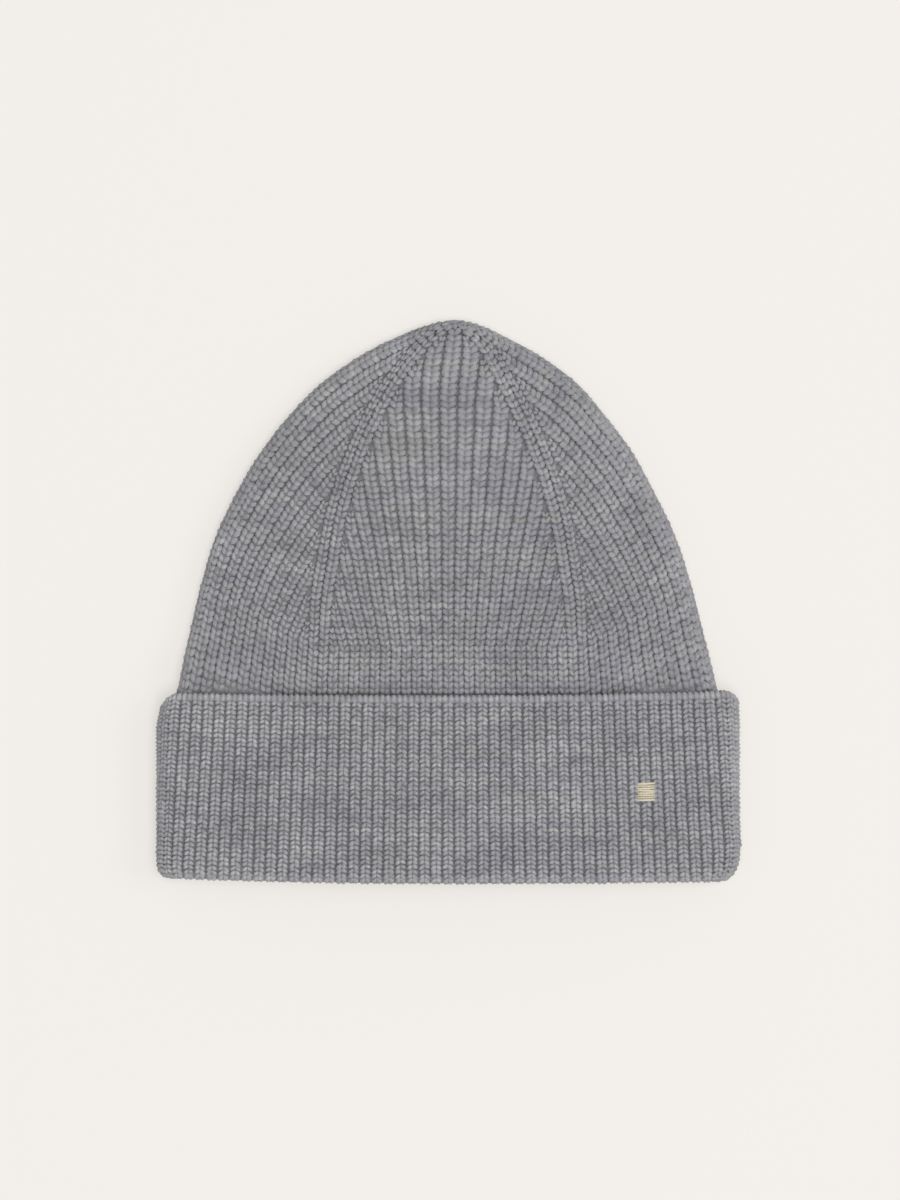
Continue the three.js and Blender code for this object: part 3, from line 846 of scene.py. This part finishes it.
CROWN_WOOL = wool_material("marled wool of the crown", tone=1.04, marl=0.64, dye=0.8, fleck=0.56)
CUFF_WOOL = wool_material("marled wool of the cuff", tone=1.15, marl=0.64, dye=0.75, fleck=0.66)
CREAM_THREAD = thread_material("cream thread", (0.56, 0.51, 0.38))
GROUND_WOOL = dict(marl=0.72, dye=0.8, fleck=0.5, stitched=False)
# The wool between the ribs is the same wool with a lower tone, as painted shade in the grooves
CROWN_GROUND_WOOL_IN_PAINTED_SHADE = wool_material("marled wool between the crown ribs", tone=0.76, first_row=LEGS_MEET,
                                  **GROUND_WOOL)
CUFF_GROUND_WOOL_IN_PAINTED_SHADE = wool_material("marled wool between the cuff ribs", tone=0.65,
                                 first_row=CUFF_FIRST_COURSE + LEGS_MEET, **GROUND_WOOL)

# Stitches, whose yarn lies with its middle YARN_SINK inside the outer face
YARN_RADIUS = 0.86
YARN_SINK = 0.95
TREE = stitch_tree()
STITCH = yarn_template("stitch_template", STITCH_STATIONS)
PLAIN_STITCH = yarn_template("plain_stitch_template", PLAIN_STITCH_STATIONS, 5)
EDGE_LOOP = yarn_template("edge_loop_template", EDGE_STATIONS)
THREAD = yarn_template("thread_template", THREAD_STATIONS)


# The crown's crease above the cuff, and the raised columns beside its fashioned lines
CREASE = dict(height=71.8, reach=5.0, depth=3.8, side_power=8)
LINE_COLUMN = dict(wide=4.6, raised=0.25, least=0.5)
# Added to the yarn's depth at the side edges and at the cuff's lower fold
EDGE_SINK = dict(crown=-0.10, cuff=-0.22)
FOLD_SINK = -0.15
# How closely the crown's change of depth keeps to its side edges
EDGE_POWER = 1.5


def crease(point):
    """How much deeper the crown lies just above the cuff's rolled edge, less near its sides."""
    edge = CREASE["height"] + cuff_sag(point[..., 0], CUFF_HEIGHT)
    middle, half = outline_half(point[..., 1])
    inward = 1 - np.clip(np.abs(point[..., 0] - middle) / half, 0, 1) ** CREASE["side_power"]
    return CREASE["depth"] * inward * np.exp(-((point[..., 1] - edge) / CREASE["reach"]) ** 2)


def creased_crown(gore, rib, course, depth):
    """Points of the crown, drawn in at the crease."""
    deeper = crease(crown_point(gore, rib, course, lambda face, cover: YARN_SINK))
    return crown_point(gore, rib, course, lambda face, cover: depth(face, cover) + deeper)


def sunk(depth):
    """A depth that lessens a little toward the side edge, so that the yarn reaches the outline."""
    return lambda face, cover: depth + EDGE_SINK["crown"] * (1 - cover) ** EDGE_POWER


def line_column(course):
    """Width in ribs of the raised column beside a fashioned line, which is as wide all the way."""
    rib_width = front_half(front_height(course)) / half_ribs(course)
    return np.clip(LINE_COLUMN["wide"] / np.maximum(rib_width, 0.1), LINE_COLUMN["least"], 1.0)


# The first course that shows above the cuff, which is lower at the crown's sides, and the
# narrowest stitch beside a line
FIRST_SHOWN = dict(middle=-2, side=-9)
NARROWEST_STITCH = 0.35
# Added to the rib count along the lines, so that their marl isn't that of the middle rib
LINE_MARL = 11


def crown_gore_places(gore):
    """Every visible stitch of one gore: its ribs, the narrowing rib beside each fashioned line,
    and the raised column of stitches that runs along the line."""
    def surface(rib, course):
        return creased_crown(gore, rib, course, sunk(YARN_SINK))
    ribs, courses, widths = [], [], []
    for course in range(FIRST_SHOWN["side" if gore % 2 else "middle"], TOP_COURSE):
        reach = float(half_ribs(course))
        if course > FIRST_DECREASE:
            reach -= float(line_column(course))
        for rib in range(-(GORE_RIBS // 2), GORE_RIBS // 2 + 1):
            width = min(1.0, reach - (abs(rib) - 0.5)) if rib else min(1.0, 2 * reach)
            if width < NARROWEST_STITCH:
                continue
            ribs.append(rib - math.copysign((1 - width) / 2, rib) if rib else 0.0)
            courses.append(course)
            widths.append(width)
    rows = [knit_places(surface, ribs, courses, widths)]
    line_courses = np.arange(FIRST_DECREASE + 1.0, TOP_COURSE)
    for side in (-1, 1):
        def beside_line(rib, course, side=side):
            middle = side * (half_ribs(course) - line_column(course) / 2)
            return creased_crown(gore, middle + rib, course, sunk(YARN_SINK - LINE_COLUMN["raised"]))
        rows.append(knit_places(beside_line, np.zeros(len(line_courses)), line_courses,
                                line_column(line_courses), square=True))
        rows[-1]["knit"][:, 0] += side * LINE_MARL
    places = joined(rows)
    places["knit"][:, 0] += GORE_RIBS * gore
    return places


# The thread that draws the last stitches together, lying in rows round the end of the tip
TIP_THREAD = dict(wide=6.4, radius=2.1, back=2.7, level=4.5, degrees=(-65, -35, -5, 25, 55, 85))


def tip_thread_places():
    """Rows of the drawing thread, from under the tip round its end to the front."""
    angles = np.radians(TIP_THREAD["degrees"])
    count = len(angles)
    none = np.zeros(count)
    out = np.stack([none, np.cos(angles), np.sin(angles)], -1)
    along = np.stack([none, -np.sin(angles), np.cos(angles)], -1)
    middle = np.array([TIP[0], TIP[1] - TIP_THREAD["back"], TIP_THREAD["level"]])
    return dict(
        place=in_metres(middle + out * TIP_THREAD["radius"]),
        across=np.tile([TIP_THREAD["wide"] * MM, 0, 0], (count, 1)), along=along * TEMPLATE_COURSE * MM,
        out=out, turn=np.zeros((count, 3)), girth=np.ones(count),
        knit=np.stack([none, TOP_COURSE - np.arange(count), none], -1),
    )


GORE_NAMES = ("front", "right", "back", "left")
for gore, gore_name in enumerate(GORE_NAMES):
    piece = knit_piece(f"crown_{gore_name}_stitches", crown_gore_places(gore), TREE,
                       PLAIN_STITCH if gore_name == "back" else STITCH, CROWN_WOOL, YARN_RADIUS,
                       seed=SEED + gore)
    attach(piece, "root")


piece = knit_piece("crown_tip_thread", tip_thread_places(), TREE, THREAD, CROWN_WOOL, YARN_RADIUS,
                   uneven=UNEVENNESS["thread"])
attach(piece, "root")


# How far the change of depth at the cuff's side edges reaches, in ribs
SIDE_REACH = 1.3


def cuff_side_share(rib):
    """1 at the cuff's side edges and 0 a few ribs away from them."""
    return np.exp(-((np.abs(np.mod(rib, CUFF_RIBS / 2) - CUFF_RIBS / 4)) / SIDE_REACH) ** 2)


def fold_share(course):
    """1 at the lowest course of the cuff's fold and 0 above the fold."""
    return np.sin(np.pi * np.clip((course - STRAIGHT_COURSES) / FOLD_COURSES, 0, 1))


def cuff_places(first_rib, ribs_across):
    """The stitches of some ribs of the cuff, from under its rolled edge to the end of its leg."""
    def surface(rib, course):
        depth = YARN_SINK + EDGE_SINK["cuff"] * cuff_side_share(rib) + FOLD_SINK * fold_share(course)
        return cuff_knit_point(rib, course, depth)
    rows = int(STRAIGHT_COURSES + FOLD_COURSES + LEG_COURSES)
    ribs, courses = np.meshgrid(np.arange(first_rib, first_rib + ribs_across),
                                np.arange(1, rows + 1) + CUFF_FIRST_COURSE)
    return knit_places(surface, ribs.ravel(), courses.ravel(), width=CUFF_STITCH_WIDTH, flip=True)


# The row of loops on the rolled edge: its course, how far it stands out over the cuff's yarn, and
# its yarn's thickness against the cuff's
EDGE_LOOPS = dict(course=0.76, raised=0.35, girth=1.15)


def cuff_edge_places():
    """Two standing loops to each rib along the rolled edge."""
    def surface(rib, course):
        return cuff_knit_point(rib, course, YARN_SINK - EDGE_LOOPS["raised"])
    ribs = np.arange(CUFF_RIBS * 2) / 2 + 0.25
    return knit_places(surface, ribs, np.full_like(ribs, EDGE_LOOPS["course"]), flip=True)


CUFF_PARTS = [
    dict(name="front_left", first=-28, ribs=28, stitch=STITCH),
    dict(name="front_right", first=0, ribs=28, stitch=STITCH),
    dict(name="back", first=28, ribs=50, stitch=PLAIN_STITCH),
]
for part in CUFF_PARTS:
    piece = knit_piece(f"cuff_{part['name']}_stitches", cuff_places(part["first"], part["ribs"]), TREE,
                       part["stitch"], CUFF_WOOL, YARN_RADIUS, full=CUFF_FULLNESS,
                       seed=CUFF_SEED + part["first"])
    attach(piece, "root")
piece = knit_piece("cuff_edge_loops", cuff_edge_places(), TREE, EDGE_LOOP, CUFF_WOOL,
                   YARN_RADIUS * EDGE_LOOPS["girth"], uneven=UNEVENNESS["loop"])
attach(piece, "root")


# A small plain square of satin stitch, sewn on the cuff in cream thread
SATIN_SQUARE = dict(across=76.0, height=35.0, wide=7.0, tall=7.0, threads=8, radius=0.45, depth=0.05)
# Share of a quarter of the cuff's ribs that lies on its flat front
FLAT_RIBS = 0.9


def satin_square_places():
    """Threads that lie level across the cuff's front, one under the other."""
    threads = SATIN_SQUARE["threads"]
    rows = (np.arange(threads) - (threads - 1) / 2) * (SATIN_SQUARE["tall"] / threads)
    rib_width = (CUFF_HALF_WIDTH - CUFF_SECTION["round"]) / (CUFF_RIBS / 4 * FLAT_RIBS)
    ribs = np.full(threads, SATIN_SQUARE["across"] / rib_width)

    def surface(rib, below):
        return cuff_point(rib, SATIN_SQUARE["height"] - below, SATIN_SQUARE["depth"])

    places = knit_places(surface, ribs, rows, flip=True)
    for key, size in (("across", SATIN_SQUARE["wide"]), ("along", TEMPLATE_COURSE)):
        places[key] = places[key] / np.linalg.norm(places[key], axis=1)[:, None] * size * MM
    places["turn"] *= 0
    places["girth"] = np.ones(threads)
    return places


piece = knit_piece("cuff_satin_square", satin_square_places(), TREE, THREAD, CREAM_THREAD,
                   SATIN_SQUARE["radius"], uneven=UNEVENNESS["thread"])
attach(piece, "root")
for template in (STITCH, PLAIN_STITCH, EDGE_LOOP, THREAD):
    bpy.data.objects.remove(template)


# Ground of the knit: closed ribbed walls under the stitches
def rib_wave(rib):
    """0 on a rib's crest and 1 in the groove beside it."""
    return 0.5 - 0.5 * np.cos(2 * np.pi * rib)


def grid_skin(rows, wrap_rows=False):
    """Faces of rings of equal length, each closed on itself."""
    count, length = len(rows), len(rows[0])
    faces = []
    for k in range(count if wrap_rows else count - 1):
        for j in range(length):
            a, b = k * length + j, k * length + (j + 1) % length
            c, d = (k + 1) % count * length + (j + 1) % length, (k + 1) % count * length + j
            faces.append((a, b, c, d))
    return faces


# Depth of the ground's crests and, below them, of its grooves, outside and inside the hat
GROUND_SINK, GROUND_GROOVE = 1.2, 1.3
INNER_SINK = dict(crown=WALL - 0.15, cuff=WALL - 0.1)
INNER_GROOVE = dict(crown=0.5, cuff=0.4)
# Share of that depth by which the outside is filled out at the side edges and the lower fold
FILLED = dict(crown=0.86, cuff=0.78, fold=0.76)
COLUMNS = dict(gore=125, cuff_rib=5)
# Width, in ribs, over which a gore's ribs pass into the column beside its line
COLUMN_BLEND = 0.15
# Courses of the points that close the crown's wall outside and inside, and how far the outer one
# lies below the tip
TIP_COURSES = dict(outside=TOP_COURSE, inside=57.0)
TIP_SINK = 0.8
# Outside and inside of the cuff's rolled edge, by course
EDGE_OUTSIDE = [
    dict(course=0.12, depth=1.5),
    dict(course=0.25, depth=1.05),
    dict(course=0.6, depth=0.78),
    dict(course=1.2, depth=0.9),
]
EDGE_INSIDE = [
    dict(course=0.6, depth=WALL - 0.15),
    dict(course=0.25, depth=WALL - 0.6),
    dict(course=0.12, depth=WALL - 1.1),
]
# Painted light: how far the rolled edge's ground counts as filled out, which brightens its colour out of
# the painted groove shade
EDGE_PAINTED_LIGHT = 0.8


def crown_ring(course, inner):
    """One ring of the crown's wall, its knit coordinates and how far it is filled out."""
    ring, knit, filling = [], [], []
    limit = float(half_ribs(course))
    rib = (np.arange(COLUMNS["gore"]) / COLUMNS["gore"] * 2 - 1) * limit
    wave = rib_wave(rib + 0.5) if inner else rib_wave(rib)
    if course > FIRST_DECREASE:
        wide = float(line_column(course))
        beside = np.clip((np.abs(rib) - (limit - wide - COLUMN_BLEND)) / COLUMN_BLEND, 0, 1)
        column = rib_wave((limit - np.abs(rib)) / wide - 0.5)
        wave = wave * (1 - beside) + beside * (1 - column if inner else column)

    def depth(face, cover):
        """Near the side edge the outside is filled out, so that the outline stays smooth."""
        near_edge = (1 - cover) ** EDGE_POWER * (not inner)
        # How far it is filled out, which the ground's material also uses to paint its colour brighter as
        # painted light
        filling.append(near_edge)
        if inner:
            return INNER_SINK["crown"] - INNER_GROOVE["crown"] * wave
        return (GROUND_SINK + GROUND_GROOVE * wave) * (1 - FILLED["crown"] * near_edge)

    for gore in range(4):
        ring.append(creased_crown(gore, rib, np.full_like(rib, course), depth))
        knit.append(np.stack([rib + GORE_RIBS * gore, np.full_like(rib, course), np.zeros_like(rib)], -1))
    return np.concatenate(ring), np.concatenate(knit), np.concatenate(filling)


def crown_ground():
    """The crown's closed wall: up the outside to the tip, and from under the tip down the inside.
    Its rings lie closest at the crease."""
    outer_courses = np.concatenate([[HEM_COURSE, -14, -6, -3], np.arange(-2, 3, 0.5),
                                    np.arange(3, TOP_COURSE - 0.4, 1.75)])
    inner_courses = np.concatenate([np.arange(56, -4, -2.5), [-8, -14, -20, HEM_COURSE]])
    rings = [crown_ring(course, False) for course in outer_courses]
    inner = [crown_ring(course, True) for course in inner_courses]
    loops = [inner[-1]] + rings + inner[:-1]
    points, coords, filled = ([loop[k] for loop in loops] for k in range(3))
    start, length = len(rings) + 1, len(points[0])
    faces = grid_skin(points[:start])
    inner_rows = list(range(start, start + len(inner) - 1)) + [0]
    for upper, lower in zip(inner_rows, inner_rows[1:]):
        for j in range(length):
            k = (j + 1) % length
            faces.append((upper * length + j, upper * length + k, lower * length + k, lower * length + j))
    last_outer, first_inner = (start - 1) * length, start * length
    tip = np.array([[TIP[0], TIP[1] - TIP_SINK, CROWN_SECTIONS[-1]["edge"]]])
    under = points[start].mean(0)[None]
    everything = np.concatenate(points + [tip, under])
    tip_index, under_index = len(everything) - 2, len(everything) - 1
    for j in range(length):
        k = (j + 1) % length
        faces.append((last_outer + j, last_outer + k, tip_index))
        faces.append((first_inner + k, first_inner + j, under_index))
    ends = np.array([[0, TIP_COURSES["outside"], 0], [0, TIP_COURSES["inside"], 0]])
    filled = np.concatenate(filled + [np.array([1.0, 0.0])])
    return plain_mesh("crown_ground", in_metres(everything), faces,
                      dict(knit=np.concatenate(coords + [ends]), filled=filled, ribbed=filled))


def cuff_ground():
    """The cuff's closed wall: down the outside from its rolled edge, round the lower fold, up the
    leg, and back down and up along the inside."""
    fold_end = STRAIGHT_COURSES + FOLD_COURSES
    leg_end = fold_end + LEG_COURSES
    rib = np.arange(CUFF_RIBS * COLUMNS["cuff_rib"]) / COLUMNS["cuff_rib"]
    flat = np.ones_like(rib)
    side, wave, inner_wave = cuff_side_share(rib), rib_wave(rib), rib_wave(rib + 0.5)
    rows = [(row["course"], row["depth"] * flat, EDGE_PAINTED_LIGHT * flat, 0 * flat) for row in EDGE_OUTSIDE]
    outside = np.concatenate([np.arange(1.8, STRAIGHT_COURSES, 2.0),
                              np.linspace(STRAIGHT_COURSES, fold_end, 12),
                              np.linspace(fold_end, leg_end, 5)[1:]])
    for course in outside:
        # How far the outside is filled out, which also paints the ground's colour brighter as painted light
        filled = 1 - (1 - FILLED["cuff"] * side) * (1 - FILLED["fold"] * fold_share(course))
        rows.append((course, (GROUND_SINK + GROUND_GROOVE * wave) * (1 - filled), filled, filled))
    inside = np.concatenate([np.linspace(leg_end, STRAIGHT_COURSES, 10),
                             np.arange(STRAIGHT_COURSES - 2, 1.2, -3.0)])
    for course in inside:
        rows.append((course, INNER_SINK["cuff"] - INNER_GROOVE["cuff"] * inner_wave, 0 * flat, 0 * flat))
    rows += [(row["course"], row["depth"] * flat, 0 * flat, 0 * flat) for row in EDGE_INSIDE]
    points = [cuff_knit_point(rib, course, depth) for course, depth, _, _ in rows]
    knit = [np.stack([rib, course * flat, 0 * flat], -1) for course, _, _, _ in rows]
    filled, ribbed = (np.concatenate([row[k] for row in rows]) for k in (2, 3))
    faces = [face[::-1] for face in grid_skin(points, wrap_rows=True)]
    return plain_mesh("cuff_ground", in_metres(np.concatenate(points)), faces,
                      dict(knit=np.concatenate(knit), filled=filled, ribbed=ribbed))


for name, node, mesh, wool in (("crown_knit", "crown", crown_ground(), CROWN_GROUND_WOOL_IN_PAINTED_SHADE),
                               ("cuff_knit", "cuff", cuff_ground(), CUFF_GROUND_WOOL_IN_PAINTED_SHADE)):
    mesh.shade_smooth()
    piece = put(name, mesh)
    mesh.materials.append(wool)
    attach(piece, "root")
    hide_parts(node)


# Room
FLOOR = dict(half_size=3.0, level=-0.0004, colour=(0.667, 0.643, 0.613), lit=0.6)
LAMPS = [
    dict(name="soft top", place=(0.5, -0.4, 6.0), size=3.2, power=300),
    dict(name="soft right", place=(3.4, 0.4, 3.2), size=2.4, power=46),
]
ROOM_LIGHT = dict(colour=(1.0, 0.985, 0.96, 1), strength=0.42)
# Size of the photo in pixels and of a pixel on the hat, the pixel over the frame's origin, and
# the height of the camera and of the middle of the hat's thickness
PHOTO = dict(width=900, height=1200, pixel=0.384 * MM, origin=(448, 601.5))
CAMERA_HEIGHT, MIDDLE_LEVEL = 2.6, 0.012
FILM_HEIGHT = 36.0


def add_floor():
    half, level = FLOOR["half_size"], FLOOR["level"]
    corners = [(-half, -half, level), (half, -half, level), (half, half, level), (-half, half, level)]
    mesh = plain_mesh("floor", corners, [(0, 1, 2, 3)])
    mesh.materials.append(lit_paper("pale paper", FLOOR["colour"], FLOOR["lit"]))
    put("floor", mesh)


def add_lamp(name, place, size, power):
    """A round soft lamp that shines on the hat."""
    lamp = bpy.data.lights.new(name, "AREA")
    lamp.shape, lamp.size, lamp.energy = "DISK", size, power
    holder = put(name, lamp)
    holder.location = place
    holder.visible_camera = False
    holder.rotation_euler = (-Vector(place)).to_track_quat("-Z", "Y").to_euler()


def add_camera():
    """Looks straight down from far off, with the photo's scale at the middle of the hat."""
    pixel = PHOTO["pixel"]
    across, down = PHOTO["origin"]
    view = bpy.data.cameras.new("camera")
    view.sensor_fit, view.sensor_height = "VERTICAL", FILM_HEIGHT
    view.sensor_width = FILM_HEIGHT * PHOTO["width"] / PHOTO["height"]
    view.lens = FILM_HEIGHT * (CAMERA_HEIGHT - MIDDLE_LEVEL) / (PHOTO["height"] * pixel)
    view.clip_end = 20
    holder = put("camera", view)
    holder.location = ((PHOTO["width"] / 2 - across) * pixel, (down - PHOTO["height"] / 2) * pixel,
                       CAMERA_HEIGHT)
    bpy.context.scene.camera = holder


add_floor()
for lamp in LAMPS:
    add_lamp(**lamp)
world = bpy.data.worlds.new("soft room")
world.use_nodes = True
world.node_tree.nodes["Background"].inputs["Color"].default_value = ROOM_LIGHT["colour"]
world.node_tree.nodes["Background"].inputs["Strength"].default_value = ROOM_LIGHT["strength"]
bpy.context.scene.world = world
bpy.context.scene.view_settings.view_transform = "Standard"
add_camera()
